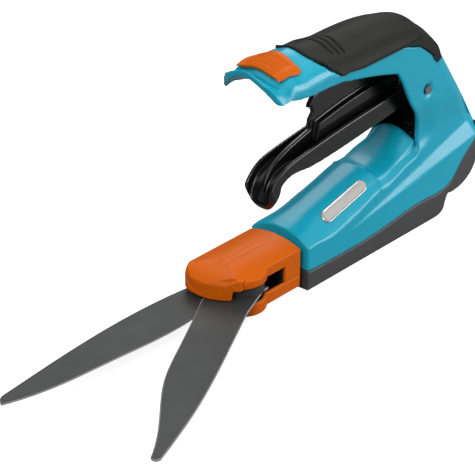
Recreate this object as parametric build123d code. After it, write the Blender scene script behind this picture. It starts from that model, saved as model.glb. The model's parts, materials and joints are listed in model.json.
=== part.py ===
from build123d import *
import math
import os

# Grass shears with a squeeze lever and a swivelling blade head. Millimetres.
# Everything is modelled with x = 0 at the housing's front face, y = 0 on the middle plane and
# z = 0 on the swivel axis, x forward along the blades, and is moved as it is written, so that the
# origin ends up in the middle of the base's flat resting face.

FRONT_TO_ORIGIN = 56.0      # the resting face's middle lies this far behind the front face
AXIS_HEIGHT = 14.0          # swivel axis above the resting face
GAP = 0.05                  # clearance between fitted parts
REACH = 60.0                # half length of a cutting tool that must pass right through

# Housing and base
BODY_HALF = 20.0            # half width of body and handle
WALL = 2.3                  # shell thickness
HOOD_DROP = 7.0             # the hood's sides lie this far below its crest
TOP_ROUND = 9.0             # rounding along the handle's top edges
PARTING_Z = -2.6            # housing and base meet here at the front
GRIP_HALF = 20.6            # half width over the soft grip
GRIP_THICK = 2.6            # grip thickness on top

# Lever linkage
PIVOT_X, PIVOT_Z = -99.5, 67.7      # lever pin
PIN_R = 2.5
ARM = 36.0                  # lever pin to rod pin
SQUEEZE = 16.0              # degrees of lever travel
LEVER_HALF = 9.3            # half width of the trough
ROD_R = 3.0
ROD_PIN_R = 2.0
STROKE = 2 * ARM * math.sin(math.radians(SQUEEZE / 2))

# Swivel
NECK_R = 7.0                # neck tube
NECK_BORE = 4.3
FLANGE_R = 8.8
BUSH_R = 9.0
DETENT = (-6.0, 0.0)        # the detent ball stands here, on top of the neck

# Head
HEAD_BACK = 3.5             # rear face of the head, clear of the housing
HEAD_HALF = 17.3            # half width of the head
HEAD_TOP, HEAD_BOTTOM = 15.0, -11.0
HEAD_SPLIT = -3.6           # the two covers meet here
HEAD_WALL = 2.0
LOBE_R = 12.6               # round bulge over the blade pivot
BOLT_X, BOLT_Y = 38.5, 8.0  # blade pivot
BOLT_R = 2.0
TANG_SCREW = (30.0, -11.0)  # screw that holds the fixed blade
HUB_R = 11.4
TANG_R = 10.5               # round tang of the moving blade
CLOSE = 31.0                # degrees between open and closed blades
DRIVE_RADIUS = 9.5          # blade pivot to drive pin
DRIVE_START = 215.0         # direction of the drive pin with the blades open
DRIVE_R = 1.5
BLADE = 1.6                 # blade thickness
LOW_BLADE_Z = -3.5
UP_BLADE_Z = -1.8
PLATE_Z = 5.3               # underside of the cam plate
PLATE_THICK = 2.5

# Lock
LOCK_TRAVEL = 5.0           # the slider moves this far to the rear
SLIDER_HALF = 15.5          # half width of the slider
LOCK_SCREW = (12.0, 0.0)


def side_shape(*edges, half):
    """A closed side outline in x and z, extruded to both sides of the middle plane."""
    face = Plane.XZ.offset(-half) * make_face(edges)
    return extrude(face, 2 * half)


def curve(*points):
    return Spline(*points)


def lines(*points):
    return Polyline(*points).edges()


def tube_x(x0, x1, outer, inner=0.0, y=0.0, z=0.0):
    """A round bar or tube along X."""
    bar = Pos((x0 + x1) / 2, y, z) * Rot(0, 90, 0) * Cylinder(outer, x1 - x0)
    if inner:
        bar -= Pos((x0 + x1) / 2, y, z) * Rot(0, 90, 0) * Cylinder(inner, x1 - x0 + 2)
    return bar


def post_z(x, y, z0, z1, radius):
    return Pos(x, y, (z0 + z1) / 2) * Cylinder(radius, z1 - z0)


def bar_y(x, z, y0, y1, radius):
    return Pos(x, (y0 + y1) / 2, z) * Rot(90, 0, 0) * Cylinder(radius, abs(y1 - y0))


def block(x0, x1, y0, y1, z0, z1):
    return Pos((x0 + x1) / 2, (y0 + y1) / 2, (z0 + z1) / 2) * Box(x1 - x0, y1 - y0, z1 - z0)


# ---- outlines in x and z ----

HOOD = [(0, 17.5), (-30, 25.5), (-60, 31.5)]
SADDLE = [(-60, 31.5), (-63, 29.5), (-80, 32.5), (-93.5, 42)]
COLUMN_FRONT = [(-93.5, 42), (-92.5, 52), (-86, 62.5), (-78, 77.5), (-72.5, 86)]
HANDLE_UNDER = [(-72.5, 86), (-46, 93.2), (-20, 97.4), (0, 98.4), (18, 101.3), (29, 106)]
LIP = [(29, 106), (31.5, 114.5)]
HANDLE_TOP = [(31.5, 114.5), (25, 112.6), (18, 113.8), (2, 116.3), (-7, 117)]
GRIP_CREST = [(-7, 117), (-30, 115), (-71, 114.8), (-98, 109), (-114, 99), (-122.5, 84.5)]
REAR = [(-122.5, 84.5), (-130, 66), (-139, 50), (-150.5, 31)]
HEEL = [(-150.6, 31), (-153, 21), (-151, 11), (-145, 2), (-136, -2.6), (-124, -3.2)]
PARTING = [(0, -2.6), (-65, -1.8), (-99, 1), (-128, 4.5), (-138, 15.5), (-146, 22.5), (-150.5, 31)]
GRIP_EDGE = [(-7, 113.5), (-17.5, 105.7), (-37, 102), (-74, 100.5), (-92, 95), (-104, 86), (-122.5, 84.5)]


def hood_rounding():
    """What is cut off to leave an arched hood, its crest following the hood's slope."""
    slope = (HOOD[-1][1] - HOOD[0][1]) / (HOOD[-1][0] - HOOD[0][0])
    crest = HOOD[0][1]
    shoulder = crest - HOOD_DROP
    beyond = BODY_HALF + 5
    above = crest + 40
    arch = make_face([
        Edge.make_line((-beyond, shoulder), (-BODY_HALF, shoulder)),
        Edge.make_three_point_arc((-BODY_HALF, shoulder), (0, crest), (BODY_HALF, shoulder)),
        *lines((BODY_HALF, shoulder), (beyond, shoulder), (beyond, above), (-beyond, above),
               (-beyond, shoulder))])
    start, lift = 1.0, 0.3
    face = Plane((start, 0, slope * start + lift), x_dir=(0, 1, 0), z_dir=(1, 0, 0)) * arch
    length = (start - HOOD[-1][0] + 3) * math.hypot(1, slope)
    tool = extrude(face, length, dir=(-1, 0, -slope))
    return tool & block(HOOD[-1][0] - 1, 2, -REACH, REACH, -20, 36)


def housing_outer(half=BODY_HALF):
    """Solid C shape of body, column and handle above the parting line."""
    shape = side_shape(
        *lines((0, PARTING_Z), HOOD[0]), curve(*HOOD), curve(*SADDLE), curve(*COLUMN_FRONT),
        curve(*HANDLE_UNDER), *lines(*LIP), curve(*HANDLE_TOP, *GRIP_CREST[1:], *REAR[1:]),
        curve(*PARTING[::-1]), half=half)
    shape = round_long_edges(shape, half, TOP_ROUND, is_back_edge)
    return shape - hood_rounding()


def is_back_edge(middle):
    """True for the long edge over the handle's top and down the rear of the column."""
    return middle.Z > middle.X * 0.55 + 150


def round_long_edges(shape, half, radius, wanted):
    """Round those edges in the two side planes whose middle point is wanted."""
    edges = [edge for edge in shape.edges()
             if abs(abs((edge @ 0.5).Y) - half) < 0.01 and wanted(edge @ 0.5)]
    return fillet(edges, radius)


def grip_envelope(half):
    """The grip's side outline as a solid."""
    return side_shape(
        curve(*GRIP_CREST), curve(*GRIP_EDGE[::-1]), *lines(GRIP_EDGE[0], GRIP_CREST[0]), half=half)


def grip_core(gap=0.0):
    """The rounded part of the housing that the grip is moulded over, or a little larger by the gap."""
    half = BODY_HALF - 1.0 + gap
    sunk = [(x, z - GRIP_THICK + gap) for x, z in GRIP_CREST[:-1]]
    front = (sunk[0][0] + 5, sunk[0][1] + 0.3)
    rear = (GRIP_CREST[-1][0] + GRIP_THICK - gap, GRIP_CREST[-1][1])
    core = side_shape(
        curve(front, *sunk, rear), *lines(rear, (-110, 60), (front[0], 60), front), half=half)
    return round_long_edges(core, half, TOP_ROUND - GRIP_THICK, lambda middle: middle.Z > 105)


def cavity():
    """The hollow of the housing, open to the base, the column's front and the handle's underside."""
    inner = BODY_HALF - WALL
    body = side_shape(
        *lines((-WALL, -20), (-WALL, 14.6)), curve((-WALL, 14.6), (-30, 22.9), (-59, 28.6)),
        curve((-59, 28.6), (-64, 27.2), (-80, 29.7), (-95.5, 38.5)),
        *lines((-95.5, 38.5), (-95.5, 42.0), (-80, 42.0), (-55, 66), (35, 80), (35, 111.6)),
        curve((35, 111.6), (25, 110.1), (18, 111.3), (2, 113.8), (-12, 112.4), (-30, 111.2),
              (-71, 110.8), (-96, 105.3), (-111, 95.5), (-119, 83.5)),
        curve((-119, 83.5), (-127.5, 65), (-136.6, 48.5), (-143.6, 36), (-147.5, 30)),
        *lines((-147.5, 30), (-150, -20), (-WALL, -20)), half=inner)
    body = round_long_edges(body, inner, TOP_ROUND - WALL, lambda middle: middle.Z > 108)
    return body - Pos(0, 0, -WALL - 0.4) * hood_rounding()


def housing():
    shape = housing_outer() - cavity()
    front_ring = tube_x(-12.0, -1.0, BUSH_R + 2) - block(-30, 5, -30, 30, -40, PARTING_Z)
    shape += front_ring + post_z(*DETENT, 9.0, 17.0, 3.4)
    for side in (-1, 1):
        shape += bar_y(PIVOT_X, PIVOT_Z, side * (LEVER_HALF + 0.3), side * (BODY_HALF - 1), 5.0)
    for x, y, wall_y in housing_pillars():
        shape += post_z(x, y, 0.5, 12.0, 3.0)
        shape += block(x - 1, x + 1, min(y, wall_y), max(y, wall_y), 0.5, 12.0)
        shape -= post_z(x, y, 0, 9.0, 1.3)
    shape -= tube_x(-20, 5, BUSH_R + GAP)
    shape -= post_z(*DETENT, 5.0, 15.2, 1.75)
    shape -= bar_y(PIVOT_X, PIVOT_Z, -REACH, REACH, PIN_R + 0.02)
    for side in (-1, 1):
        shape -= bar_y(PIVOT_X, PIVOT_Z, side * (BODY_HALF - 0.9), side * REACH, 4.2)
    shape -= grip_envelope(REACH) - grip_core()
    shape -= badge(GAP)
    shape -= block(3.0, 17.0, -4.0, 4.0, 105, 125)
    return shape.solids().sort_by(SortBy.VOLUME)[-1]


def housing_pillars():
    """Screw pillars as x, y and the side wall they stand against."""
    return [(x, side * 14.5, side * (BODY_HALF - 1)) for x in (-20.0, -70.0) for side in (-1, 1)]


def base_cover():
    """Boat-shaped shell under the body, with a thin strip wrapped up round the heel."""
    parting = [(x, z - GAP) for x, z in PARTING[:-2]] + [(-146.1, 22.4), HEEL[0]]
    shape = side_shape(
        *lines((0, PARTING_Z - GAP), (0, -AXIS_HEIGHT), (-111, -AXIS_HEIGHT)),
        Edge.make_three_point_arc((-111, -AXIS_HEIGHT), (-119, -10.8), HEEL[-1]),
        curve(*HEEL[::-1]), curve(*parting[::-1]), half=BODY_HALF)
    shape -= housing_outer()
    hollow = side_shape(
        *lines((-WALL, 30), (-WALL, -AXIS_HEIGHT + WALL), (-110, -AXIS_HEIGHT + WALL)),
        curve((-110, -AXIS_HEIGHT + WALL), (-116.5, -9.5), (-121.5, -1.6)),
        curve((-121.5, -1.6), (-135, -0.2), (-144, 5), (-150, 19)),
        *lines((-150, 19), (-149, 30), (-WALL, 30)), half=BODY_HALF - WALL)
    shape -= hollow
    ring = tube_x(-12.0, -1.0, BUSH_R + 2) & block(-30, 5, -30, 30, -40, PARTING_Z - 0.2)
    shape += ring
    for x, y, _ in housing_pillars():
        shape += post_z(x, y, -AXIS_HEIGHT + 1, 0.3, 3.1)
    for side in (-1, 1):
        shape += block(-31.5, -24.5, side * 8 - 1, side * 8 + 1, -12.5, -7.0)
    shape -= tube_x(-20, 5, BUSH_R + GAP)
    shape -= block(-31.0, -25.0, -7.05, 7.05, -11.7, 10)
    for x, y, _ in housing_pillars():
        shape -= post_z(x, y, -20, 5, 1.6)
        shape -= post_z(x, y, -20, -11.0, 2.8)
    return shape.solids().sort_by(SortBy.VOLUME)[-1]


def grip_pad():
    outer = grip_envelope(GRIP_HALF)
    outer = round_long_edges(outer, GRIP_HALF, TOP_ROUND, lambda middle: middle.Z > 112)
    return (outer - grip_core(GAP)).solids().sort_by(SortBy.VOLUME)[-1]


def badge(extra=0.0):
    """Blank rounded plate that lies on one upper slope of the hood."""
    length, width, thick = 34.0, 6.5, 1.0
    x, y = -36.0, 13.4
    slope = math.atan2(HOOD[-1][1] - HOOD[0][1], -HOOD[-1][0])
    arch_r = (BODY_HALF ** 2 + HOOD_DROP ** 2) / (2 * HOOD_DROP)
    z = HOOD[0][1] - x * math.tan(slope) - arch_r + math.sqrt(arch_r ** 2 - y ** 2)
    lean = math.degrees(math.asin(y / arch_r))
    sketch = SlotOverall(length + 2 * extra, width + 2 * extra)
    plate = extrude(sketch, thick / 2 + extra, both=True)
    return Pos(x, y, z + 0.4) * Rot(0, math.degrees(slope), 0) * Rot(-lean, 0, 0) * plate


def lever_pin():
    return bar_y(PIVOT_X, PIVOT_Z, -BODY_HALF + 0.4, BODY_HALF - 0.4, PIN_R)


def base_screws():
    return [post_z(x, y, -13.0, -11.05, 2.6) + post_z(x, y, -12.0, 7.0, 1.25)
            for x, y, _ in housing_pillars()]


def swivel_bush():
    return tube_x(-11.5, -0.3, BUSH_R, NECK_R + GAP) - post_z(*DETENT, 5, 12, 1.7)


def rod_guide():
    return block(-30.9, -25.1, -7.0, 7.0, -11.65, 6.5) - tube_x(-40, -20, ROD_R + GAP)


def return_spring():
    """Coil between the rod's collar and the guide block."""
    coil = Helix(pitch=5.4, height=26.8, radius=5.2, center=(0, 0, 0), direction=(1, 0, 0))
    start = Plane(coil @ 0, z_dir=coil % 0)
    wire = sweep(start * Circle(0.6), coil)
    return Pos(-58.4, 0, 0) * wire


def detent_ball():
    return Pos(*DETENT, NECK_R + 1.55) * Sphere(1.5)


def detent_spring():
    """Small coil that presses the ball on the swivel neck."""
    coil = Helix(pitch=1.0, height=3.2, radius=1.1)
    wire = sweep(Plane(coil @ 0, z_dir=coil % 0) * Circle(0.22), coil)
    return Pos(*DETENT, 10.5) * wire


# ---- lever ----

def lever():
    """Trough with a central rib, a hump, a latch fin and the arm that works the rod."""
    outline = side_shape(
        curve((-98, 69), (-47, 64.2), (-14, 60.2), (-2, 58.3), (8, 55.5), (14.5, 50.5), (17.5, 43.5)),
        curve((17.5, 43.5), (17.3, 38), (14, 33.5)),
        curve((14, 33.5), (11.5, 35), (8.8, 45.6), (3, 50.2), (-6, 50.6), (-14, 49.8)),
        curve((-14, 49.8), (-40, 51.9), (-67, 55.0), (-98, 58.5)),
        *lines((-98, 58.5), (-98, 69)), half=LEVER_HALF)
    trough = side_shape(
        curve((-90, 75), (-47, 70), (-14, 66), (0, 63), (12, 60), (24, 48)),
        *lines((24, 48), (24, 30)), curve((24, 30), (16.3, 36.5), (11, 48), (3, 52.6), (-14, 52.2)),
        curve((-14, 52.2), (-40, 54.3), (-67, 57.4), (-90, 60)), *lines((-90, 60), (-90, 75)),
        half=LEVER_HALF - 1.8)
    rib = side_shape(
        curve((-95, 73), (-50, 71), (-26, 67), (-14, 64), (0, 59.5), (10, 53), (15, 44), (14.5, 35)),
        curve((14.5, 35), (9, 46.5), (3, 51), (-14, 51)), curve((-14, 51), (-40, 53), (-95, 59)),
        *lines((-95, 59), (-95, 73)), half=1.4)
    hump = side_shape(
        curve((-95, 75), (-75, 75.8), (-50, 73.6), (-26, 69.3)), *lines((-26, 69.3), (-24, 60)),
        curve((-24, 60), (-60, 60), (-95, 62)), *lines((-95, 62), (-95, 75)), half=4.5)
    fin = side_shape(
        *lines((-22.5, 66), (-22, 71.8), (-24.6, 74.9), (-23.2, 79.5), (-20.7, 78.7), (-21.5, 81),
               (-24.5, 84.5)), curve((-24.5, 84.5), (-42, 90.0), (-60, 93.2), (-76, 93.2)),
        curve((-76, 93.2), (-86, 88), (-96, 72)), *lines((-96, 72), (-90, 62), (-22.5, 66)), half=1.4)
    hub = bar_y(PIVOT_X, PIVOT_Z, -LEVER_HALF, LEVER_HALF, 8.0)
    pin_x, pin_z = rod_pin_place()
    elbow = (PIVOT_X - 13.1, PIVOT_Z - 29.2)
    upper_arm = arm_plate((PIVOT_X, PIVOT_Z, 6.5), (*elbow, 3.6))
    lower_arm = arm_plate((*elbow, 3.6), (pin_x, pin_z, 4.2))
    shape = outline - trough + rib + hump + fin + hub + upper_arm + lower_arm
    shape -= bar_y(PIVOT_X, PIVOT_Z, -REACH, REACH, PIN_R + GAP)
    shape -= bar_y(pin_x, pin_z, -REACH, REACH, ROD_PIN_R + 0.01)
    return shape.solids().sort_by(SortBy.VOLUME)[-1]


def arm_plate(near, far):
    """A flat arm between two round ends, each given as x, z and radius."""
    ends = [edge for x, z, radius in (near, far) for edge in (Pos(x, z) * Circle(radius)).edges()]
    return extrude(Plane.XZ.offset(-3.2) * make_hull(ends), 6.4)


def rod_pin_place():
    """The rod pin's middle with the lever released, half the travel behind the pivot."""
    half_turn = math.radians(SQUEEZE / 2)
    return PIVOT_X - ARM * math.sin(half_turn), PIVOT_Z - ARM * math.cos(half_turn)


def lever_rod_pin():
    pin_x, pin_z = rod_pin_place()
    return bar_y(pin_x, pin_z, -6.8, 6.8, ROD_PIN_R)


# ---- rod ----

def drive_rod():
    return tube_x(-110, 4.0, ROD_R) + tube_x(3.9, 11, 2.0) + tube_x(10.0, 12.9, 4.0)


def rod_fork():
    """Clamp on the rod with two upright cheeks, slotted for the lever's lower pin."""
    pin_x, pin_z = rod_pin_place()
    half_long, inner, outer = 4.2, 3.7, 6.6
    shape = block(pin_x - half_long, pin_x + half_long, -outer, outer, -5.5, 8.0)
    for near, far in ((-outer, -inner), (inner, outer)):
        shape += block(pin_x - half_long, pin_x + half_long, near, far, 0, pin_z)
        shape += bar_y(pin_x, pin_z, near, far, half_long)
    shape -= tube_x(-150, 0, ROD_R + 0.01)
    width = 2 * (ROD_PIN_R + GAP)
    shape -= block(pin_x - width / 2, pin_x + width / 2, -10, 10, pin_z - 0.6, pin_z + 0.2)
    for z in (pin_z - 0.6, pin_z + 0.2):
        shape -= bar_y(pin_x, z, -10, 10, width / 2)
    return shape


def spring_collar():
    return tube_x(-62.5, -59.5, 6.5, ROD_R + 0.01)


# ---- lock ----

def lock_slider():
    """Ribbed saddle that follows the arch of the handle's front."""
    band = side_shape(
        curve((19, 115.8), (14, 117.2), (9, 118.0), (4, 118.4), (1.8, 118.2)),
        *lines((1.8, 118.2), (1.8, 112), (19, 110), (19, 115.8)), half=SLIDER_HALF)
    band = round_long_edges(band, SLIDER_HALF, 4.0, lambda middle: middle.Z > 116)
    clearance = 0.15
    for travel in (0, LOCK_TRAVEL / 2, LOCK_TRAVEL):
        band -= Pos(travel, 0, clearance) * housing_outer()
    cap = band.solids().sort_by(SortBy.VOLUME)[-1]
    stem = block(8.5, 15.5, -3.5, 3.5, 109.5, 116.0)
    shape = cap + stem - post_z(*LOCK_SCREW, 100, 114, 1.0)
    return shape.solids().sort_by(SortBy.VOLUME)[-1]


def lock_catch():
    """Bar under the slider with a leg and a tooth for the lever's fin."""
    bar = block(-21.4, 16, -3.0, 3.0, 107.2, 109.4)
    leg = block(-21.4, -17.5, -3.0, 3.0, 96.2, 109.0)
    tooth = block(-23.8, -20, -2.2, 2.2, 96.2, 99.5)
    return bar + leg + tooth - post_z(*LOCK_SCREW, 100, 114, 1.2)


def lock_screw():
    return post_z(*LOCK_SCREW, 106.0, 107.1, 2.2) + post_z(*LOCK_SCREW, 106.5, 113.5, 0.95)


# ---- head ----

def head_plan(inset=0.0):
    """The head seen from above: straight sides, a rounded nose and the lobe over the blade pivot."""
    half = HEAD_HALF - inset
    back = HEAD_BACK + inset
    tip = 60.6 - inset
    body = make_face([
        *lines((50, half), (back, half), (back, -half), (52, -half)),
        curve((52, -half), (57.8 - inset, -14.5 + inset / 2), (tip, -3), (57.5 - inset, 8.5), (50, half))])
    return body + Pos(BOLT_X, BOLT_Y) * Circle(LOBE_R - inset)


def head_roof(inset=0.0):
    """Arched roof and sloping nose as a solid that bounds the upper cover."""
    top = HEAD_TOP - inset
    radius = 45.0
    arch = tube_x(0, 70, radius, z=top - radius)
    nose = side_shape(
        *lines((0, -20), (0, 20), (38, 20)), *lines((38, 20), (43, top + 0.2)),
        curve((43, top + 0.2), (52, 11.5 - inset), (58.5 - inset, 6 - inset), (62 - inset, -4)),
        *lines((62 - inset, -4), (62 - inset, -20), (0, -20)), half=30)
    return arch & nose


def gaps():
    """Side window, lobe gap and nose gap left open between the two covers."""
    window = block(15.5, 30, 10, 30, HEAD_SPLIT + 0.001, 6.0)
    lobe_gap = block(26, 66, 4, 30, HEAD_SPLIT - 1, 5.8)
    nose_gap = block(44, 66, -30, 30, HEAD_SPLIT - 1, 0.6)
    return window + lobe_gap + nose_gap


def head_upper_cover():
    split = HEAD_SPLIT + GAP
    shape = extrude(Pos(0, 0, split) * head_plan(), 20) & head_roof()
    hollow = extrude(Pos(0, 0, split - 1) * head_plan(HEAD_WALL), 20) & head_roof(HEAD_WALL)
    shape -= hollow + gaps()
    for x, y in head_screw_places():
        shape += post_z(x, y, split, 11.0, 3.0)
    shape += post_z(*TANG_SCREW, 0.6, 11.5, 3.2)
    shape -= tube_x(0, 5.6, NECK_R + GAP)
    for x, y in head_screw_places():
        shape -= post_z(x, y, -10, 8, 1.2)
    shape -= post_z(*TANG_SCREW, -10, 8, 1.2)
    return shape.solids().sort_by(SortBy.VOLUME)[-1]


def head_screw_places():
    return [(12.0, -12.5), (12.0, 12.5)]


def head_lower_cover():
    tall = HEAD_SPLIT - HEAD_BOTTOM
    shape = extrude(Pos(0, 0, HEAD_BOTTOM) * head_plan(), tall)
    low_edges = shape.edges().filter_by(lambda e: abs((e @ 0.5).Z - HEAD_BOTTOM) < 0.01)
    shape = fillet(low_edges, 1.5)
    shape -= extrude(Pos(0, 0, HEAD_BOTTOM + HEAD_WALL) * head_plan(HEAD_WALL), 20)
    for x, y in head_screw_places():
        shape += post_z(x, y, HEAD_BOTTOM + 1, HEAD_SPLIT, 3.0)
    shape += post_z(BOLT_X, BOLT_Y, HEAD_BOTTOM + 1, HEAD_SPLIT, 7.0)
    shape += post_z(*TANG_SCREW, HEAD_BOTTOM + 1, HEAD_SPLIT, 4.0)
    shape += block(50, 56, -12, 0, HEAD_BOTTOM + 1, HEAD_SPLIT)
    for side in (-1, 1):
        shape += block(9, 22, side * 7.2 - 1, side * 7.2 + 1, HEAD_BOTTOM + 1, -1.0)
    shape -= tube_x(0, 5.6, NECK_R + GAP)
    shape -= post_z(BOLT_X, BOLT_Y, -20, 0, BOLT_R + GAP) + post_z(BOLT_X, BOLT_Y, -20, -8.5, 4.0)
    for x, y in head_screw_places() + [TANG_SCREW]:
        shape -= post_z(x, y, -20, 0, 1.6) + post_z(x, y, -20, -8.8, 2.8)
    return shape.solids().sort_by(SortBy.VOLUME)[-1]


def swivel_neck():
    """Flanged tube, grooved for the retainer and dimpled for the detent ball."""
    shape = tube_x(-16.0, 7.6, NECK_R, NECK_BORE) + tube_x(5.65, 7.6, FLANGE_R, NECK_BORE)
    shape -= tube_x(-13.9, -12.1, 9.0, 5.9)
    for turn in range(8):
        shape -= Rot(45 * turn, 0, 0) * Pos(*DETENT, NECK_R + 0.9) * Sphere(1.6)
    return shape


def swivel_retainer():
    return tube_x(-13.85, -12.15, 10.0, 5.95) - block(-20, 0, -4.5, 4.5, -12, 0)


def blade_outline_low():
    """Fixed blade, seen from above: tang, straight back and a nearly straight edge."""
    return make_face([
        *lines((26.5, -14.6), (46, -14.6), (55.6, -15.6)),
        curve((55.6, -15.6), (106, -18.0), (149, -15.4), (190, -11.2)),
        curve((190, -11.2), (193.5, -9.6), (195.4, -6.0)),
        curve((195.4, -6.0), (160, 2.5), (130, 5.2), (104, 7.6), (77, 7.6)),
        curve((77, 7.6), (63, 9.5), (56, 14), (48, 15)), *lines((48, 15), (26.5, 15), (26.5, -14.6))])


def blade_outline_up():
    """Moving blade, drawn open: round tang, straight back and a double-curved edge."""
    arc_start, arc_mid, arc_end = [
        (BOLT_X + TANG_R * math.cos(math.radians(angle)), BOLT_Y + TANG_R * math.sin(math.radians(angle)))
        for angle in (112, 180, 298)]
    return make_face([
        Edge.make_three_point_arc(arc_start, arc_mid, arc_end),
        curve(arc_end, (54, -2.2), (62.3, 0.5)),
        curve((62.3, 0.5), (79, 10), (104, 23.4), (131, 38.8), (160, 62.6), (183, 79.2)),
        curve((183, 79.2), (183.6, 81.8), (181, 83.7)),
        curve((181, 83.7), (161, 76.3), (138.5, 67.2), (94.4, 46), (55.5, 26)),
        *lines((55.5, 26), arc_start)])


def ground_blade(outline, z, on_edge, top):
    """A flat blade with its cutting edge ground off on the outer face."""
    blade = extrude(Pos(0, 0, z) * outline, BLADE)
    face_z = z + BLADE if top else z
    edges = [e for e in blade.edges() if abs((e @ 0.5).Z - face_z) < 0.01 and on_edge(e)]
    return chamfer(edges, 0.7)


def lower_blade():
    blade = ground_blade(blade_outline_low(), LOW_BLADE_Z,
                         lambda e: (e @ 0.5).Y > 0 and e.length > 100, False)
    for x, y, radius in ((BOLT_X, BOLT_Y, BOLT_R + GAP), (*TANG_SCREW, 1.6)):
        blade -= post_z(x, y, -10, 5, radius)
    return blade


def upper_blade():
    blade = ground_blade(blade_outline_up(), UP_BLADE_Z,
                         lambda e: e.length > 60 and (e @ 0.5).Y < 0.62 * (e @ 0.5).X - 39, True)
    blade -= post_z(BOLT_X, BOLT_Y, -10, 5, BOLT_R + GAP)
    return blade - post_z(*drive_pin_place(), -10, 5, DRIVE_R + 0.01)


def drive_pin_place(turned=0.0):
    """Middle of the drive pin with the blades closed by so many degrees."""
    angle = math.radians(DRIVE_START - turned)
    return BOLT_X + DRIVE_RADIUS * math.cos(angle), BOLT_Y + DRIVE_RADIUS * math.sin(angle)


def blade_hub():
    """Black disc on the moving blade, counterbored for the nut."""
    shape = post_z(BOLT_X, BOLT_Y, UP_BLADE_Z + BLADE + 0.01, 5.0, HUB_R)
    shape -= post_z(BOLT_X, BOLT_Y, -5, 10, BOLT_R + GAP) + post_z(BOLT_X, BOLT_Y, 1.2, 10, 5.0)
    return shape - post_z(*drive_pin_place(), -5, 10, DRIVE_R + 0.01)


def drive_pin():
    return post_z(*drive_pin_place(), UP_BLADE_Z + 0.1, PLATE_Z + PLATE_THICK - 0.1, DRIVE_R)


def blade_bolt():
    return post_z(BOLT_X, BOLT_Y, -10.9, -8.55, 3.7) + post_z(BOLT_X, BOLT_Y, -9, 4.8, BOLT_R)


def blade_washer():
    return post_z(BOLT_X, BOLT_Y, 1.25, 1.75, 4.6) - post_z(BOLT_X, BOLT_Y, 0, 5, BOLT_R + 0.02)


def blade_nut():
    nut = extrude(Pos(BOLT_X, BOLT_Y, 1.8) * RegularPolygon(4.0, 6), 2.9)
    return nut - post_z(BOLT_X, BOLT_Y, 0, 9, BOLT_R + 0.02)


def head_screw(x, y):
    return post_z(x, y, -10.8, -8.85, 2.6) + post_z(x, y, -9, 6, 1.15)


def lower_blade_screw():
    return head_screw(*TANG_SCREW)


def head_screws():
    return [head_screw(x, y) for x, y in head_screw_places()]


def cam_slide():
    """Block that holds the rod's button, with a plate whose curved slot turns the drive pin."""
    shape = block(8.1, 14.6, -6.0, 6.0, -6.0, PLATE_Z + PLATE_THICK)
    shape += block(8.1, 34.0, -6.0, 11.2, PLATE_Z, PLATE_Z + PLATE_THICK)
    shape -= block(28, 40, 7, 20, 0, 10) + block(8, 15.5, 6.0, 20, 0, 10)
    shape -= tube_x(9.9, 13.0, 4.1) + block(9.9, 13.0, -4.1, 4.1, -10, 0)
    shape -= tube_x(5, 10, 2.1) + block(5, 10, -2.1, 2.1, -10, 0)
    steps = 6
    centre = []
    for step in range(steps + 1):
        x, y = drive_pin_place(CLOSE * step / steps)
        centre.append((x - STROKE * step / steps, y))
    for near, far in zip(centre, centre[1:]):
        ends = [edge for place in (near, far) for edge in (Pos(*place) * Circle(DRIVE_R + GAP)).edges()]
        shape -= extrude(make_hull(ends), 15)
    return shape


NODES = {
    "housing": housing, "base_cover": base_cover, "grip_pad": grip_pad, "badge_plate": badge,
    "lever_pin": lever_pin, "base_screws": base_screws, "swivel_bush": swivel_bush,
    "rod_guide": rod_guide, "return_spring": return_spring, "detent_ball": detent_ball,
    "detent_spring": detent_spring, "lever": lever, "lever_rod_pin": lever_rod_pin,
    "drive_rod": drive_rod, "rod_fork": rod_fork, "spring_collar": spring_collar,
    "lock_slider": lock_slider, "lock_catch": lock_catch, "lock_screw": lock_screw,
    "head_upper_cover": head_upper_cover, "head_lower_cover": head_lower_cover,
    "swivel_neck": swivel_neck, "swivel_retainer": swivel_retainer, "lower_blade": lower_blade,
    "upper_blade": upper_blade, "blade_hub": blade_hub, "drive_pin": drive_pin,
    "blade_bolt": blade_bolt, "blade_washer": blade_washer, "blade_nut": blade_nut,
    "lower_blade_screw": lower_blade_screw, "head_screws": head_screws, "cam_slide": cam_slide,
}


def write_all():
    """One STEP file per node, moved so that the resting face's middle is the origin."""
    os.makedirs("parts", exist_ok=True)
    for name, make in NODES.items():
        made = make()
        shapes = made if isinstance(made, list) else [made]
        moved = [Pos(FRONT_TO_ORIGIN, 0, AXIS_HEIGHT) * shape for shape in shapes]
        solids = [solid for shape in moved for solid in shape.solids()]
        whole = solids[0] if len(solids) == 1 else Compound(children=solids)
        export_step(whole, "parts/" + name + ".step")


write_all()
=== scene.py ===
"""Grass shears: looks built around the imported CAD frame. Metres, in the frame's own axes.

Each visible moulding is its CAD node's own mesh, remeshed evenly and then carried through a few
fields that give it the form which the plain solid lacks. A field takes vertices and returns them
moved. It works in the model frame, in millimetres: x = 0 at the housing's front face, with the
blades toward +x, y = 0 on the middle plane and z = 0 on the swivel axis.
"""

import json
import math

import bmesh
import bpy
import numpy as np
from mathutils import Matrix, Vector
from mathutils.bvhtree import BVHTree


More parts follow.
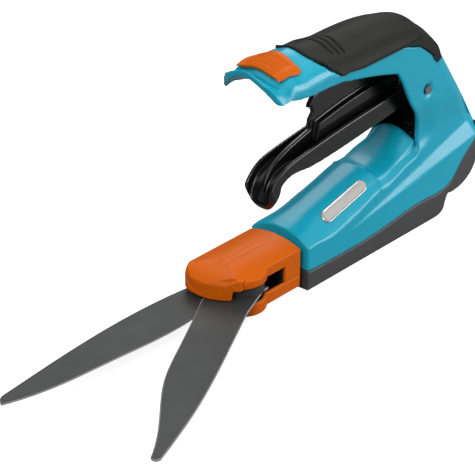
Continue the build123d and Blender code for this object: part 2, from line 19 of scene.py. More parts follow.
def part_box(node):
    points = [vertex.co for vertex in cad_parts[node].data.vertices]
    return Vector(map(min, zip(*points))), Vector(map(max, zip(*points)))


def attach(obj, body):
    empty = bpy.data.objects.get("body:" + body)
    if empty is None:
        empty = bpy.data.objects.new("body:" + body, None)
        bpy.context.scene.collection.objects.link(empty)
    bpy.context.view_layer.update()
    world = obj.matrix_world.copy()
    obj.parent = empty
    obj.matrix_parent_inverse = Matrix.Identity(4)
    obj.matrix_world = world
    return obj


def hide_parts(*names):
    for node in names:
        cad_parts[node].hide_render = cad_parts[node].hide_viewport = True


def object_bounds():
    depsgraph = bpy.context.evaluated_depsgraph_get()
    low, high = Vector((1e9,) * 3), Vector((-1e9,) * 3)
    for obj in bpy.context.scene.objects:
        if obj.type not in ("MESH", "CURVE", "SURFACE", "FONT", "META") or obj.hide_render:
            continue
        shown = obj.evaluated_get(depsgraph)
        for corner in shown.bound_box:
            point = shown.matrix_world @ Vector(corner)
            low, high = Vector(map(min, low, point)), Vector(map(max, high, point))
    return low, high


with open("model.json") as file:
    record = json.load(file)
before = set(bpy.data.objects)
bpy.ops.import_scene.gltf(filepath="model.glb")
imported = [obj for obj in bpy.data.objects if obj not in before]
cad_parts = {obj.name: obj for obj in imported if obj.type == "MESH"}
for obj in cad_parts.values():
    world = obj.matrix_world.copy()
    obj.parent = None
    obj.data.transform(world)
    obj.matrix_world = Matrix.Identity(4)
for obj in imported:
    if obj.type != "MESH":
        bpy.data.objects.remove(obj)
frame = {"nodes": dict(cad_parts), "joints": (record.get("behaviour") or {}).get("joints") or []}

cad_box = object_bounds()

MM = 0.001
SWIVEL = next(joint for joint in frame["joints"] if joint["name"] == "head_swivel")
HOUSING_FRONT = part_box("base_cover")[1][0]
ORIGIN = np.array((HOUSING_FRONT, 0, SWIVEL["pos_m"][2]))      # the model frame's origin, in metres


def to_mm(metres):
    """Points in metres as model-frame millimetres."""
    return (np.array(metres) - ORIGIN) / MM


def read_mm(mesh):
    """The mesh's vertices in model-frame millimetres."""
    flat = np.empty(len(mesh.vertices) * 3)
    mesh.vertices.foreach_get("co", flat)
    return to_mm(flat.reshape(-1, 3))


def write_mm(mesh, points):
    """Puts model-frame millimetres back as the mesh's vertices."""
    metres = points * MM + ORIGIN
    mesh.vertices.foreach_set("co", metres.astype(np.float32).ravel())
    mesh.update()


# ---- mesh tools ----

SHRINK, SWELL = 0.55, -0.57        # one pass smooths, and the next gives back the lost size


def neighbour_mean(points, edges, counts):
    """Each vertex's average neighbour."""
    total = np.zeros_like(points)
    np.add.at(total, edges[:, 0], points[edges[:, 1]])
    np.add.at(total, edges[:, 1], points[edges[:, 0]])
    return total / counts[:, None]


def relax(mesh, rounds):
    """Rounds small steps and edges off without shrinking the shape."""
    flat = np.empty(len(mesh.edges) * 2, dtype=np.int64)
    mesh.edges.foreach_get("vertices", flat)
    edges = flat.reshape(-1, 2)
    counts = np.maximum(np.bincount(edges.ravel(), minlength=len(mesh.vertices)), 1).astype(float)
    points = read_mm(mesh)
    for _ in range(rounds):
        for factor in (SHRINK, SWELL):
            points += factor * (neighbour_mean(points, edges, counts) - points)
    write_mm(mesh, points)


def reshape(mesh, *fields):
    """Moves every vertex through the given fields, one after another."""
    points = read_mm(mesh)
    for field in fields:
        points = field(points)
    write_mm(mesh, points)


def smooth_shade(mesh):
    mesh.polygons.foreach_set("use_smooth", np.ones(len(mesh.polygons), dtype=bool))


def new_object(name, data):
    piece = bpy.data.objects.new(name, data)
    bpy.context.scene.collection.objects.link(piece)
    return piece


def remeshed(node, name, voxel_mm, rounds):
    """A copy of a CAD node's mesh, remeshed evenly and relaxed."""
    piece = new_object(name, frame["nodes"][node].data.copy())
    piece.data.materials.clear()
    remesh = piece.modifiers.new("remesh", "REMESH")
    remesh.mode = "VOXEL"
    remesh.voxel_size = voxel_mm * MM
    graph = bpy.context.evaluated_depsgraph_get()
    even = bpy.data.meshes.new_from_object(piece.evaluated_get(graph))
    piece.modifiers.clear()
    piece.data = even
    relax(even, rounds)
    smooth_shade(even)
    return piece


def keep_in_box(mesh):
    """Holds every vertex inside the CAD model's box."""
    write_mm(mesh, np.clip(read_mm(mesh), to_mm(cad_box[0]), to_mm(cad_box[1])))


# ---- curves ----

def smoothstep(low, high, value):
    """0 below low, 1 above high, and a smooth rise between."""
    t = np.clip((value - low) / (high - low), 0, 1)
    return t * t * (3 - 2 * t)


def hump(middle, spread, value):
    """1 at the middle, falling off smoothly to both sides."""
    return np.exp(-((value - middle) / spread) ** 2)


# ---- form of the body ----

HALF = 20.0                         # half width of body and handle
HOOD_END = -61.0                    # here the hood ends and the saddle begins
HOOD_ARCH_RADIUS = 32.07            # of the CAD hood across the body
SADDLE_LOW_X, SADDLE_LOW_Z = -63, 29.5

FRONT_DROP = 7                      # fall of the hood from crest to side, at its front
DROP_CHANGES = ((0, 22, 4.7), (38, 60, -1.6), (60, 77, -8.8), (78, 94, 1.4))
HOOD_POWER = 2.4                    # roundness of the hood across the body

RIM_HALF = 15.5                     # half width of the saddle between its rims
RIM_BEHIND = (60, 66, 76, 86, 96, 102)
RIM_Z = (26.2, 27.8, 29.0, 30.0, 32.6, 36.0)
SADDLE_CROWN, SADDLE_POWER = 0.6, 2.2

CREASE_X, CREASE_Z, CREASE_SLOPE = -17, 10.9, 0.24
BORE_RADIUS, BORE_END = 11.4, -13   # the swivel neck's bore, which stays round


def cad_hood_top(x, y):
    """Height of the CAD hood: a curved crest, cut by an arched slope."""
    crest = 17.5 - 0.3 * x - 0.00111 * x * x
    side = np.minimum(np.abs(y), HALF)
    arch = HOOD_ARCH_RADIUS - np.sqrt(HOOD_ARCH_RADIUS ** 2 - side ** 2)
    return np.minimum(crest, 17.8 - 0.2333 * x - arch)


def cad_saddle_top(x):
    """Height of the CAD saddle, which rises to the column."""
    t = SADDLE_LOW_X - x
    return SADDLE_LOW_Z + 0.00653 * t ** 2 + 0.000227 * t ** 3


def shoulder_drop(x):
    """How far the body's top falls from its crest to its sides."""
    return FRONT_DROP + sum(change * smoothstep(start, end, -x) for start, end, change in DROP_CHANGES)


def hood_top(x, y):
    """Height of the finished hood."""
    return cad_hood_top(x, 0 * y) - shoulder_drop(x) * (np.abs(y) / HALF) ** HOOD_POWER


def side_crease(x):
    """Height of the crease where the body's side walls end."""
    return CREASE_Z + CREASE_SLOPE * np.maximum(CREASE_X - x, 0)


def saddle_top(x, y):
    """Height of the finished saddle: a crowned middle between two rims, then steep shoulders."""
    side = np.abs(y)
    crest = cad_saddle_top(x) + SADDLE_CROWN
    rim = np.interp(-x, RIM_BEHIND, RIM_Z)
    middle = crest - (crest - rim) * (np.minimum(side, RIM_HALF) / RIM_HALF) ** SADDLE_POWER
    shoulder = (rim - side_crease(x)) * np.clip((side - RIM_HALF) / (HALF - RIM_HALF), 0, 1)
    return middle - shoulder


def saddle_share(x, y, z):
    """0 on the hood, 1 on the saddle, and between them on the step and on the side walls."""
    step_half = 0.6
    step_low = cad_hood_top(HOOD_END, y)
    on_step = np.clip((z - step_low) / (cad_saddle_top(HOOD_END) - step_low + 0.01), 0, 1)
    share = np.where(x > HOOD_END + step_half, 0, np.where(x < HOOD_END - step_half, 1, on_step))
    on_wall = (1 - smoothstep(21.5, 25, z)) * (np.abs(y) > 17)
    return share + (smoothstep(55, 67, -x) - share) * on_wall


def arch_hood(points):
    """Arches the hood more steeply behind its front and crowns the saddle between its rims."""
    x, y, z = points.T
    share = saddle_share(x, y, z)
    hood_rise = hood_top(x, y) - cad_hood_top(x, y)
    saddle_rise = saddle_top(x, y) - cad_saddle_top(x)
    rise = hood_rise * (1 - share) + saddle_rise * share
    low = -2 + 0.12 * np.clip(-x - 20, 0, 75)
    weight = smoothstep(low, low + 19, z)
    ceiling = np.where(x > HOOD_END, 42, cad_saddle_top(x) + 1)
    weight *= 1 - smoothstep(ceiling, ceiling + 16, z)
    weight *= ~((x > BORE_END) & (y * y + z * z < BORE_RADIUS ** 2))
    weight *= (x < 1) * (1 - smoothstep(90, 103, -x))
    return np.column_stack((x, y, z + rise * weight))


BEVEL_START = -37.7                 # the bevel of the side walls opens here and widens to the rear
BEVEL_LOW, BEVEL_LOW_SLOPE = 8.2, 0.155
BEVEL_HIGH, BEVEL_HIGH_SLOPE = 8.8, 0.25
BEVEL_LEAN = 0.36                   # inset per height of bevel
COLUMN_INSET = 2.0                  # of the column's side walls


def bevel_sides(points):
    """Draws the upper side walls in above the bevel that widens to the rear."""
    x, y, z = points.T
    behind = BEVEL_START - x
    bevel_low = BEVEL_LOW + BEVEL_LOW_SLOPE * behind
    width = np.maximum(BEVEL_HIGH + BEVEL_HIGH_SLOPE * behind - bevel_low, 0.02)
    inset = BEVEL_LEAN * width * np.clip((z - bevel_low) / width, 0, 1) * (x < -34)
    inset *= 1 - 0.75 * smoothstep(38, 62, z)
    on_column = smoothstep(80, 92, -x) * (1 - smoothstep(96, 112, -x))
    above_crease = smoothstep(0, 9, z - side_crease(x)) * (1 - smoothstep(42, 64, z))
    inset += COLUMN_INSET * on_column * above_crease
    at_side = smoothstep(13.5, 17, np.abs(y))
    return np.column_stack((x, y - np.sign(y) * inset * at_side, z))


def trim_rear(points):
    """Draws the heel in above its foot, the same on shell and base."""
    draw = 3.0
    x, y, z = points.T
    above_foot = smoothstep(-13, -7, z) * (1 - smoothstep(8, 34, z))
    return np.column_stack((x + draw * above_foot * smoothstep(100, 116, -x), y, z))


def round_column(points):
    """Draws the front edges of the column back above the saddle."""
    draw, height, spread = 4.6, 41, 11
    x, y, z = points.T
    back = draw * smoothstep(9, 19, np.abs(y)) * hump(height, spread, z)
    back *= smoothstep(82, 88, -x) * (1 - smoothstep(94, 112, -x))
    return np.column_stack((x - back, y, z))


# ---- form of the handle ----

BEND_X, BEND_Z = -88, 80            # centre of the bend from the handle down to the column
HANDLE_LOW = 92                     # only the handle is higher than this, ahead of the bend
GRIP_FRONT = -8


def arch_handle(points):
    """Rounds the handle's top into an arch, more strongly under the palm and round the bend."""
    x, y, z = points.T
    side = np.abs(y)
    behind = np.minimum(x - BEND_X, 0)
    up = np.where((x < BEND_X) & (z < BEND_Z), 0, z - BEND_Z)
    radius = np.maximum(np.hypot(behind, up), 0.001)
    lean = np.degrees(np.arctan2(-behind, np.maximum(up, 0.001)))

    front = (2.9 + 2.3 * smoothstep(14, 3, x) + 1.2 * smoothstep(22, 29, x)) * smoothstep(0, 16, side)
    crown = 1.8 * smoothstep(26, 44, -x) * smoothstep(84, 106, z)
    sides = 4.3 * smoothstep(1, 16, side)
    bend = (2.3 + 1.0 * smoothstep(10, 20, side)) * smoothstep(8, 48, lean) * smoothstep(58, 86, z)
    corner = 3.4 * (np.maximum(side - 12, 0) / 8) ** 2 * smoothstep(18, 42, lean) * smoothstep(72, 92, z)

    palm = smoothstep(9, 26, -x)
    outer = smoothstep(21, 27, radius) * (z > 44) * smoothstep(46, 90, z)
    shift = (front * (1 - palm) + (crown + sides + bend + corner) * palm) * outer
    shift = np.minimum(shift, radius)
    return np.column_stack((x - shift * behind / radius, y, z - shift * up / radius))


def shape_lip(points):
    """Raises the lip in the middle, draws its corners back and dips in front of the slider."""
    lift, thicken, dip, dip_x, dip_spread = 2.4, 1.5, 1.9, 21.8, 2.8
    back_middle, back_corner = 2.2, 5.5
    x, y, z = points.T
    side = np.minimum(np.abs(y) / HALF, 1)
    high = z > HANDLE_LOW
    near_top = smoothstep(100, 108, z)
    raised = lift * smoothstep(23, 31, x) * (1 - side ** 2)
    dipped = dip * hump(dip_x, dip_spread, x) * (1 - side ** 4)
    thicker = thicken * smoothstep(14, 26, x) * (1 - smoothstep(104, 109.5, z))
    back = (back_middle + back_corner * side ** 3) * smoothstep(6, 31, x)
    return np.column_stack((x - back * high, y, z + ((raised - dipped) * near_top - thicker) * high))


def sweep(points, share):
    """Sweeps the handle's top back toward its sides, by a share of the full sweep."""
    full = 0.023                    # mm back per square mm of distance from the middle
    x, y, z = points.T
    near = smoothstep(-36, -12, x) * (z > HANDLE_LOW)
    return np.column_stack((x - full * np.minimum(y * y, HALF ** 2) * near * share, y, z))


def sweep_grip(points):
    """The sweep of the grip's front edge."""
    return sweep(points, 1)


def sweep_shell(points):
    """The same sweep for the housing, held still ahead of the grip."""
    return sweep(points, smoothstep(1.0, 7.0, -points[:, 0]))


GRIP_EDGE_X = (-122.5, -104, -92, -74, -37, -17.5, -7)
GRIP_EDGE_Z = (84.5, 86, 95, 100.5, 102, 105.7, 113.5)


def sink_core(points):
    """Draws the housing in where the grip covers it, most of all at the bend."""
    x, y, z = points.T
    covered = smoothstep(0.6, 1.8, z - np.interp(x, GRIP_EDGE_X, GRIP_EDGE_Z)) * (x < GRIP_FRONT)
    at_bend = smoothstep(74, 88, -x)
    outward = np.column_stack((np.minimum(x - BEND_X, 0), 0 * y, z - BEND_Z))
    outward /= np.maximum(np.linalg.norm(outward, axis=1), 1)[:, None]
    moved = points - ((1.5 + 1.9 * at_bend) * covered)[:, None] * outward
    moved[:, 1] -= np.sign(y) * (1.0 + 2.6 * at_bend) * covered * smoothstep(11, 17, np.abs(y))
    return moved


def clear_slider(points):
    """Lowers the handle's top a little under the slider's front, to leave it room to travel."""
    lower = 0.45
    x, y, z = points.T
    along = smoothstep(-3, 4, x) * (1 - smoothstep(19.5, 22, x))
    across = 1 - smoothstep(12, 16, np.abs(y))
    return np.column_stack((x, y, z - lower * along * across * (z > 96)))


GROOVES = ((-26.0, 13.5), (-30.8, 15.0), (-36.0, 15.0))        # place on the middle plane, half length


def grip_details(points):
    """Raised rim at the front and three grooves across the top."""
    rim_height, groove_depth, groove_spread, groove_sweep = 1.3, 1.7, 0.8, 0.013
    swell, crown, corner_drop = 0.25, 0.15, 0.9
    x, y, z = points.T
    side = np.abs(y)
    top = smoothstep(104, 108, z)
    rim = rim_height * hump(-8.2, 1.5, x) * (1 - smoothstep(17, 20, side))
    corner = corner_drop * smoothstep(15, 19, side) * hump(GRIP_FRONT, 5, x)
    groove = sum(hump(place, groove_spread, x - groove_sweep * y * y)
                 * (1 - smoothstep(reach - 3, reach + 1, side)) for place, reach in GROOVES)
    wider = y + swell * smoothstep(12, 18, side) * np.sign(y)
    return np.column_stack((x, wider, z + (rim - corner - groove_depth * groove + crown) * top))


RIB_FRONT, RIB_PITCH, RIB_COUNT, RIB_DEPTH = 18.6, 3.3, 4, 1.4
RIB_SLOPE = 0.8                     # share of the pitch that slopes down, before the steep return


def slider_details(points):
    """Cuts stepped thumb ribs into the slider's front half."""
    x, y, z = points.T
    side = np.abs(y)
    underside = 112.6 + 0.2 * (19 - x) - 2.9 * smoothstep(0, 15, side)
    top = smoothstep(1.0, 1.9, z - underside)
    phase = (RIB_FRONT - x) / RIB_PITCH
    part = phase - np.floor(phase)
    cut = np.where(part < RIB_SLOPE, 1 - part / RIB_SLOPE, (part - RIB_SLOPE) / (1 - RIB_SLOPE))
    rib = np.where((phase > 0) & (phase < RIB_COUNT), cut, 0)
    return np.column_stack((x, y, z - RIB_DEPTH * rib * top * (1 - smoothstep(9, 12, side))))


def lever_tip(points):
    """Rounds the lever's tip in front view."""
    lift, half = 7.5, 9.3
    x, y, z = points.T
    low = 1 - smoothstep(34, 52, z)
    return np.column_stack((x, y, z + lift * low * (np.abs(y) / half) ** 3 * (x > -20)))


# ---- form of the head ----

NOSE_Y = (-17.3, -14.5, -9, -3, 3, 8.5, 13.5, 17.3)
NOSE_X = (52, 57.8, 59.9, 60.6, 59.8, 57.5, 54, 50)            # the CAD head's front outline
NOSE_PROFILE_X = (43, 52, 55.5, 58.5, 60.6, 62)
NOSE_PROFILE_Z = (15.2, 11.5, 9.0, 6.0, 1.7, -4)               # the CAD nose in side view
PUSH_Z = (0.6, 6, 9, 11.5, 13.5, 15.2)
PUSH_X = (0.3, 1.9, 4.4, 4.6, 3.2, 0)                          # forward push of the nose with height
NOSE_START = 39
PIVOT_X, PIVOT_Y = 38.5, 8.0        # the blades' pivot, round which the lobe is drawn
LOBE_RADIUS = 12.3
LOBE_TOP, LOBE_LOW = 8.8, 0.6       # height of the lobe's edge, and how low its wall is carried


def blunt_nose(points):
    """Pushes the sloping nose forward into a steep front wall and carries that wall round to the lobe."""
    wall, ease = 1.2, 1.6
    x, y, z = points.T
    outline = np.interp(y, NOSE_Y, NOSE_X)
    inner = (z < np.interp(x, NOSE_PROFILE_X, NOSE_PROFILE_Z) - wall) & (x < outline - wall)
    limit = outline - np.where(inner, ease, 0) - ease * smoothstep(8.5, 12, z)
    pushed = x + np.interp(z, PUSH_Z, PUSH_X) * smoothstep(NOSE_START, 51, x)
    new_x = np.where(x > NOSE_START, np.maximum(np.minimum(pushed, limit), x), x)

    reach = np.hypot(x - PIVOT_X, y - PIVOT_Y)
    turn = np.degrees(np.arctan2(y - PIVOT_Y, x - PIVOT_X))
    on_lobe = smoothstep(LOBE_RADIUS, LOBE_RADIUS + 0.7, reach) * (1 - smoothstep(20, 23, turn))
    on_lobe *= (y > 3.6) * (x > 46)
    carried = np.where(z < 5.8, LOBE_LOW, LOBE_LOW + (z - 5.8) * (LOBE_TOP - LOBE_LOW) / 3.0)
    new_z = np.where(z < LOBE_TOP, z + (np.minimum(carried, z) - z) * on_lobe, z)
    return np.column_stack((new_x, y, new_z))


def head_details(points):
    """Two fine lines along the head's roof."""
    depth, spread, places = 0.35, 0.4, (-2.0, 3.0)
    x, y, z = points.T
    roof = smoothstep(11, 12.5, z)
    line = sum(hump(place, spread, y) for place in places)
    along = smoothstep(18, 20, x) * (1 - smoothstep(46, 50, x))
    return np.column_stack((x, y, z - depth * line * roof * along))


# ---- painted shade on hollow faces ----

def inside_head(x, y, z):
    """True between the head's walls, where every face gets painted shade."""
    front = np.interp(y, NOSE_Y, NOSE_X) - 1.1
    roof = 10.6 - 0.22 * max(x - 40, 0)
    return 4.6 < x < front and abs(y) < 15.6 and -9.4 < z < roof


def housing_outside(x, y, z, normal):
    """True on the flat outer sides, and on the saddle, which looks across at the column: these keep their
    own colour, with no painted shade.
    """
    on_side = abs(y) > 18 and abs(normal[1]) > 0.8
    on_saddle = -101 < x < -60 and 20 < z < 48 and (normal[2] > 0.1 or abs(y) > 17.5)
    return on_side or on_saddle


def paint_hollow_shade(piece, inside=None, outside=None):
    """Paints shade: the faces that look across the piece's own hollow get the near-black inside material.
    """
    near, far, off_face = 2.5 * MM, 45 * MM, 0.2 * MM
    mesh = piece.data
    mesh.materials.append(MATERIALS["inside"])
    shade_slot = len(mesh.materials) - 1
    bm = bmesh.new()
    bm.from_mesh(mesh)
    tree = BVHTree.FromBMesh(bm)
    for face in bm.faces:
        centre = face.calc_center_median()
        x, y, z = to_mm(centre)
        # every face between the head's walls gets painted shade
        if inside and inside(x, y, z):
            face.material_index = shade_slot
            continue
        if outside and outside(x, y, z, face.normal):
            continue
        _, normal, _, distance = tree.ray_cast(centre + face.normal * off_face, face.normal, far)
        if distance is not None and distance > near and normal.dot(face.normal) < -0.2:
            face.material_index = shade_slot
    bm.to_mesh(mesh)
    bm.free()


# ---- pieces ----

def finish_with(piece, material):
    keep_in_box(piece.data)
    piece.data.materials.clear()
    piece.data.materials.append(MATERIALS[material])


def cover(name, node, body, material, *fields, voxel, before, after=0, late=(), hollow=None):
    """Builds one finished piece from a CAD node and puts it in the node's place.

    voxel is the mesh's spacing in mm. before and after are rounds of relaxing around the fields,
    and the late fields come last and stay crisp. hollow holds the arguments for painting shade on
    the faces inside the piece's hollow.
    """
    piece = remeshed(node, name, voxel, before)
    reshape(piece.data, *fields)
    relax(piece.data, after)
    reshape(piece.data, *late)
    finish_with(piece, material)
    if hollow is not None:
        # paints shade on the faces that look across the piece's hollow
        paint_hollow_shade(piece, **hollow)
    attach(piece, body)
    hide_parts(node)


def build_mouldings():
    cover("housing_shell", "housing", "housing", "turquoise", arch_hood, sink_core, bevel_sides,
          round_column, trim_rear, arch_handle, sweep_shell, shape_lip,
          voxel=0.7, before=6, after=10, late=(clear_slider,), hollow={"outside": housing_outside})
    cover("grip", "grip_pad", "housing", "grip", bevel_sides, arch_handle,
          voxel=0.5, before=4, after=24, late=(grip_details, sweep_grip))
    cover("base", "base_cover", "housing", "base", trim_rear, voxel=0.7, before=4)
    cover("slider", "lock_slider", "lock", "orange", arch_handle, slider_details,
          voxel=0.3, before=5, after=3)
    cover("lever_trough", "lever", "lever", "lever", lever_tip, voxel=0.5, before=6, after=2)
    cover("head_top", "head_upper_cover", "head", "orange", blunt_nose,
          voxel=0.42, before=9, after=3, late=(head_details,), hollow={"inside": inside_head})
    cover("head_bottom", "head_lower_cover", "head", "orange",
          voxel=0.5, before=6, hollow={"inside": inside_head})


BADGE_X, BADGE_Y = -37.0, 12.9
BADGE_HALF_LONG, BADGE_HALF_WIDE = 17.6, 3.6
BADGE_SHORTEN = 0.80                # width across the slope, seen from above
BADGE_RISE, BORDER_RISE, BORDER_IN, BORDER_SPREAD = 0.40, 0.25, 0.45, 0.3
BADGE_ROOT = -0.5                   # its outer edge goes this far into the hood
BADGE_RINGS, BADGE_STEPS = 26, 96


def badge_point(share, angle):
    """A point of the badge: share 0 is its middle line and 1 its edge."""
    straight = BADGE_HALF_LONG - BADGE_HALF_WIDE
    u = math.cos(angle) * BADGE_HALF_WIDE * share + math.copysign(straight, math.cos(angle)) * share ** 0.2
    v = math.sin(angle) * BADGE_HALF_WIDE * share
    x, y = BADGE_X + u, BADGE_Y + v * BADGE_SHORTEN
    to_edge = BADGE_HALF_WIDE * (1 - share)
    rise = BADGE_RISE + BORDER_RISE * hump(BORDER_IN, BORDER_SPREAD, to_edge) if share < 1 else BADGE_ROOT
    lean = math.atan(shoulder_drop(x) * HOOD_POWER / HALF * (y / HALF) ** (HOOD_POWER - 1))
    return x, y + math.sin(lean) * rise, float(hood_top(x, y)) + math.cos(lean) * rise


def build_badge():
    """A blank brushed plate with a raised border, lying on the hood's slope."""
    angles = [2 * math.pi * step / BADGE_STEPS for step in range(BADGE_STEPS)]
    bm = bmesh.new()
    rings = [[bm.verts.new(badge_point(ring / BADGE_RINGS, angle)) for angle in angles]
             for ring in range(BADGE_RINGS + 1)]
    for inner, outer in zip(rings, rings[1:]):
        for step in range(BADGE_STEPS):
            after = (step + 1) % BADGE_STEPS
            bm.faces.new((inner[step], outer[step], outer[after], inner[after]))
    bmesh.ops.remove_doubles(bm, verts=bm.verts, dist=0.02)
    bmesh.ops.recalc_face_normals(bm, faces=bm.faces)
    mesh = bpy.data.meshes.new("badge")
    bm.to_mesh(mesh)
    bm.free()
    write_mm(mesh, np.array([vertex.co for vertex in mesh.vertices]))
    smooth_shade(mesh)
    piece = new_object("badge", mesh)
    finish_with(piece, "badge")
    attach(piece, "housing")
    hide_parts("badge_plate")


# ---- materials ----

def node_material(name):
    material = bpy.data.materials.new(name)
    material.use_nodes = True
    tree = material.node_tree
    return material, tree, tree.nodes["Principled BSDF"]


def add_noise(tree, scale, detail=4.0, stretch=(1, 1, 1)):
    """Noise in object space, its scale in features per metre."""
    place = tree.nodes.new("ShaderNodeTexCoord")
    mapping = tree.nodes.new("ShaderNodeMapping")
    mapping.inputs["Scale"].default_value = stretch
    noise = tree.nodes.new("ShaderNodeTexNoise")
    noise.inputs["Scale"].default_value = scale
    noise.inputs["Detail"].default_value = detail
    tree.links.new(place.outputs["Object"], mapping.inputs["Vector"])
    tree.links.new(mapping.outputs["Vector"], noise.inputs["Vector"])
    return noise.outputs["Fac"]


def ramp(tree, source, low, high, from_low=0.3, from_high=0.7):
    """Maps a grey value's range onto another."""
    node = tree.nodes.new("ShaderNodeMapRange")
    node.inputs["From Min"].default_value = from_low
    node.inputs["From Max"].default_value = from_high
    node.inputs["To Min"].default_value = low
    node.inputs["To Max"].default_value = high
    tree.links.new(source, node.inputs["Value"])
    return node.outputs["Result"]


def mix_colour(tree, factor, first, second):
    """Mixes two colours, each given as red, green and blue or as another node's output."""
    node = tree.nodes.new("ShaderNodeMix")
    node.data_type = "RGBA"
    for socket, value in (("A", first), ("B", second)):
        target = [i for i in node.inputs if i.name == socket and i.type == "RGBA"][0]
        if hasattr(value, "node"):
            tree.links.new(value, target)
        else:
            target.default_value = (*value, 1)
    tree.links.new(factor, node.inputs[0])
    return [o for o in node.outputs if o.type == "RGBA"][0]


def add_bump(tree, shader, height, strength, distance_mm):
    bump = tree.nodes.new("ShaderNodeBump")
    bump.inputs["Strength"].default_value = strength
    bump.inputs["Distance"].default_value = distance_mm * MM
    tree.links.new(height, bump.inputs["Height"])
    tree.links.new(bump.outputs["Normal"], shader.inputs["Normal"])


def edge_mask(tree):
    """White on convex edges, where handling polishes the surface."""
    geometry = tree.nodes.new("ShaderNodeNewGeometry")
    return ramp(tree, geometry.outputs["Pointiness"], 0.0, 1.0, 0.52, 0.60)


def plastic(name, colour, worn, rough, grain_scale, grain, coat=0.0, shine=0.4):
    """Moulded plastic: faint colour drift, uneven gloss, fine grain and polished edges."""
    drift_scale, drift_darker, gloss_scale, gloss_spread = 35, 0.86, 120, 0.03
    material, tree, shader = node_material(name)
    drift = ramp(tree, add_noise(tree, drift_scale, 5), 0.0, 0.22)
    edges = edge_mask(tree)
    tinted = mix_colour(tree, drift, colour, [c * drift_darker for c in colour])
    tree.links.new(mix_colour(tree, edges, tinted, worn), shader.inputs["Base Color"])
    gloss = ramp(tree, add_noise(tree, gloss_scale, 6), rough - gloss_spread, rough + gloss_spread)
    tree.links.new(gloss, shader.inputs["Roughness"])
    shader.inputs["Coat Weight"].default_value = coat
    shader.inputs["Specular IOR Level"].default_value = shine
    shader.inputs["Coat Roughness"].default_value = 0.12
    add_bump(tree, shader, add_noise(tree, grain_scale, 2), grain, 0.05)
    return material


def metal(name, colour, rough, brush=(1, 1, 1), brush_scale=900, strength=0.15):
    """Metal with fine directional scratches and patchy polish."""
    scratch_darker, polish_scale = 0.72, 160
    material, tree, shader = node_material(name)
    shader.inputs["Metallic"].default_value = 1.0
    scratch = add_noise(tree, brush_scale, 4, brush)
    tinted = mix_colour(tree, ramp(tree, scratch, 0, 0.5), colour, [c * scratch_darker for c in colour])
    tree.links.new(tinted, shader.inputs["Base Color"])
    polish = ramp(tree, add_noise(tree, polish_scale, 4), rough * 0.8, rough * 1.25)
    tree.links.new(polish, shader.inputs["Roughness"])
    add_bump(tree, shader, scratch, strength, 0.02)
    return material


def bare_edge(tree):
    """White where the blade's surface leans away from its flat, however the head is turned."""
    geometry = tree.nodes.new("ShaderNodeNewGeometry")
    on_blade = tree.nodes.new("ShaderNodeVectorTransform")
    on_blade.vector_type = "NORMAL"
    on_blade.convert_from = "WORLD"
    on_blade.convert_to = "OBJECT"
    tree.links.new(geometry.outputs["True Normal"], on_blade.inputs["Vector"])
    split = tree.nodes.new("ShaderNodeSeparateXYZ")
    tree.links.new(on_blade.outputs["Vector"], split.inputs["Vector"])
    flatness = tree.nodes.new("ShaderNodeMath")
    flatness.operation = "ABSOLUTE"
    tree.links.new(split.outputs["Z"], flatness.inputs[0])
    return ramp(tree, flatness.outputs[0], 1.0, 0.0, 0.90, 0.97)


def blade_material():
    """Dark coated steel, with bare ground metal on the bevels."""
    coat_dark, coat_light, ground = (0.038, 0.041, 0.040), (0.047, 0.050, 0.049), (0.36, 0.36, 0.35)
    material, tree, shader = node_material("coated_blade")
    shader.inputs["Metallic"].default_value = 0.35
    shader.inputs["Specular IOR Level"].default_value = 0.35
    streak = add_noise(tree, 700, 4, (0.08, 1, 1))
    patch = add_noise(tree, 60, 5)
    coat = mix_colour(tree, ramp(tree, streak, 0, 0.4), coat_light, coat_dark)
    tree.links.new(mix_colour(tree, bare_edge(tree), coat, ground), shader.inputs["Base Color"])
    tree.links.new(ramp(tree, patch, 0.50, 0.58), shader.inputs["Roughness"])
    add_bump(tree, shader, streak, 0.12, 0.02)
    return material


MATERIALS = {
    "turquoise": plastic("turquoise_plastic", (0.004, 0.345, 0.485), (0.010, 0.38, 0.53), 0.30, 2600, 0.04,
                         coat=0.12, shine=0.32),
    "base": plastic("grey_plastic", (0.048, 0.048, 0.050), (0.075, 0.075, 0.078), 0.48, 3200, 0.35),
    "grip": plastic("soft_grip_rubber", (0.014, 0.014, 0.013), (0.020, 0.020, 0.019), 0.62, 3800, 0.5,
                    shine=0.18),
    "lever": plastic("black_gloss_plastic", (0.006, 0.006, 0.006), (0.03, 0.03, 0.03), 0.24, 2600, 0.08,
                     coat=0.2),
    "black": plastic("black_plastic", (0.012, 0.012, 0.012), (0.03, 0.03, 0.03), 0.40, 2600, 0.2),
    "orange": plastic("orange_plastic", (0.60, 0.108, 0.002), (0.66, 0.15, 0.008), 0.40, 2800, 0.22,
                      shine=0.1),
    # painted shade: a near-black for the faces inside hollows, darker than the plastic's own colour
    "inside": plastic("shaded_inside", (0.004, 0.006, 0.007), (0.006, 0.008, 0.009), 0.6, 2600, 0.1),
    "natural": plastic("natural_plastic", (0.55, 0.54, 0.50), (0.62, 0.61, 0.57), 0.45, 2600, 0.2),
    "steel": metal("zinc_steel", (0.42, 0.42, 0.41), 0.30),
    "pin": metal("dull_pin_steel", (0.22, 0.22, 0.21), 0.38),
    "spring": metal("spring_steel", (0.42, 0.42, 0.43), 0.32),
    "badge": metal("brushed_badge", (0.62, 0.61, 0.58), 0.34, (0.05, 1, 1), 1500, 0.25),
    "blade": blade_material(),
}

# The nodes that aren't listed are of zinc-plated steel.
NODE_MATERIAL = {
    "housing": "turquoise", "base_cover": "base", "grip_pad": "grip", "badge_plate": "badge",
    "lever": "lever", "lock_slider": "orange", "head_upper_cover": "orange",
    "head_lower_cover": "orange", "lower_blade": "blade", "upper_blade": "blade",
    "blade_hub": "black", "rod_fork": "black", "lock_catch": "black", "cam_slide": "black",
    "swivel_bush": "natural", "rod_guide": "natural", "return_spring": "spring",
    "detent_spring": "spring", "swivel_retainer": "spring", "lever_pin": "pin",
}


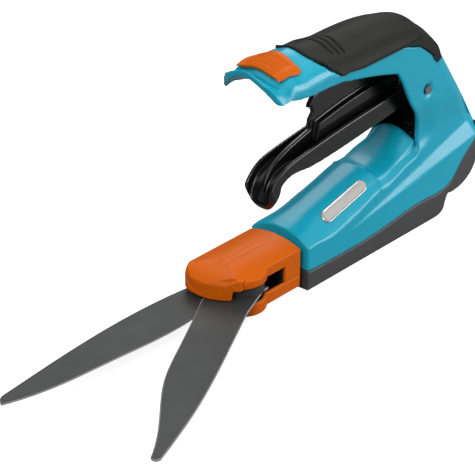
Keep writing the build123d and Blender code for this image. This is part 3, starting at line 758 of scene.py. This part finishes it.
def dress_cad_nodes():
    """Gives every CAD node its material."""
    for name, piece in frame["nodes"].items():
        material = MATERIALS[NODE_MATERIAL.get(name, "steel")]
        for slot in piece.material_slots:
            slot.link = "OBJECT"
            slot.material = material


# ---- stage ----

FLOOR_HALF = 3.0
STUDIO_MIDDLE = Vector((0.0, 0.0, 0.05))        # the point that the lights face


def build_floor():
    """A pale floor, bright to the camera and dim to everything else."""
    z = cad_box[0][2]
    corners = [(-FLOOR_HALF, -FLOOR_HALF, z), (FLOOR_HALF, -FLOOR_HALF, z),
               (FLOOR_HALF, FLOOR_HALF, z), (-FLOOR_HALF, FLOOR_HALF, z)]
    mesh = bpy.data.meshes.new("floor")
    mesh.from_pydata(corners, [], [(0, 1, 2, 3)])
    material, tree, shader = node_material("pale_floor")
    seen = tree.nodes.new("ShaderNodeLightPath").outputs["Is Camera Ray"]
    pale = mix_colour(tree, ramp(tree, add_noise(tree, 3), 0, 1), (0.50, 0.50, 0.50), (0.47, 0.47, 0.47))
    tree.links.new(mix_colour(tree, seen, (0.16, 0.16, 0.16), pale), shader.inputs["Base Color"])
    shader.inputs["Roughness"].default_value = 0.6
    shader.inputs["Emission Color"].default_value = (1, 1, 1, 1)
    tree.links.new(ramp(tree, seen, 0.02, 0.85, 0.0, 1.0), shader.inputs["Emission Strength"])
    mesh.materials.append(material)
    new_object("floor", mesh)


def build_sky():
    """A white backdrop for the camera; for everything else, brighter above than at the sides."""
    world = bpy.data.worlds.new("studio")
    bpy.context.scene.world = world
    world.use_nodes = True
    tree = world.node_tree
    background = tree.nodes["Background"]
    place = tree.nodes.new("ShaderNodeTexCoord")
    split = tree.nodes.new("ShaderNodeSeparateXYZ")
    tree.links.new(place.outputs["Generated"], split.inputs["Vector"])
    sky = ramp(tree, split.outputs["Z"], 0.0, 0.98, 0.40, 0.72)
    strength = tree.nodes.new("ShaderNodeMix")
    strength.data_type = "FLOAT"
    path = tree.nodes.new("ShaderNodeLightPath")
    tree.links.new(path.outputs["Is Camera Ray"], strength.inputs[0])
    tree.links.new(sky, strength.inputs[2])
    strength.inputs[3].default_value = 1.0
    background.inputs["Color"].default_value = (1, 1, 1, 1)
    tree.links.new(strength.outputs[0], background.inputs["Strength"])


def area_light(name, place, size, power):
    """A soft round light, its size in metres and its power in watts."""
    light = bpy.data.lights.new(name, "AREA")
    light.shape = "DISK"
    light.size = size
    light.energy = power
    lamp = new_object(name, light)
    lamp.location = place
    lamp.rotation_euler = (STUDIO_MIDDLE - Vector(place)).to_track_quat("-Z", "Y").to_euler()


def build_lights():
    area_light("top", (-0.75, -0.60, 0.95), 1.0, 6)
    area_light("low_side", (-0.75, 0.95, 0.16), 0.9, 15)
    area_light("front", (1.0, 0.35, 0.75), 0.8, 8)


CAMERA_TURN, CAMERA_LIFT = math.radians(41.5), math.radians(28.4)      # off the blades, above the floor
CAMERA_DISTANCE = 1230.0
CAMERA_RIGHT, CAMERA_UP = -22.19, 9.51          # the picture's middle, off the model frame's origin
LENS, SENSOR = 176.5, 36.0


def build_camera():
    toward = Vector((math.cos(CAMERA_TURN) * math.cos(CAMERA_LIFT),
                     math.sin(CAMERA_TURN) * math.cos(CAMERA_LIFT), math.sin(CAMERA_LIFT)))
    right = Vector((-math.sin(CAMERA_TURN), math.cos(CAMERA_TURN), 0))
    up = toward.cross(right)
    place = right * CAMERA_RIGHT + up * CAMERA_UP + toward * CAMERA_DISTANCE
    data = bpy.data.cameras.new("camera")
    data.lens = LENS
    data.sensor_width = SENSOR
    camera = new_object("camera", data)
    axes = Matrix((right, up, toward)).transposed().to_4x4()
    camera.matrix_world = Matrix.Translation(place * MM + Vector(ORIGIN)) @ axes
    bpy.context.scene.camera = camera


dress_cad_nodes()
build_mouldings()
build_badge()
build_floor()
build_sky()
build_lights()
build_camera()
bpy.context.scene.view_settings.view_transform = "Standard"
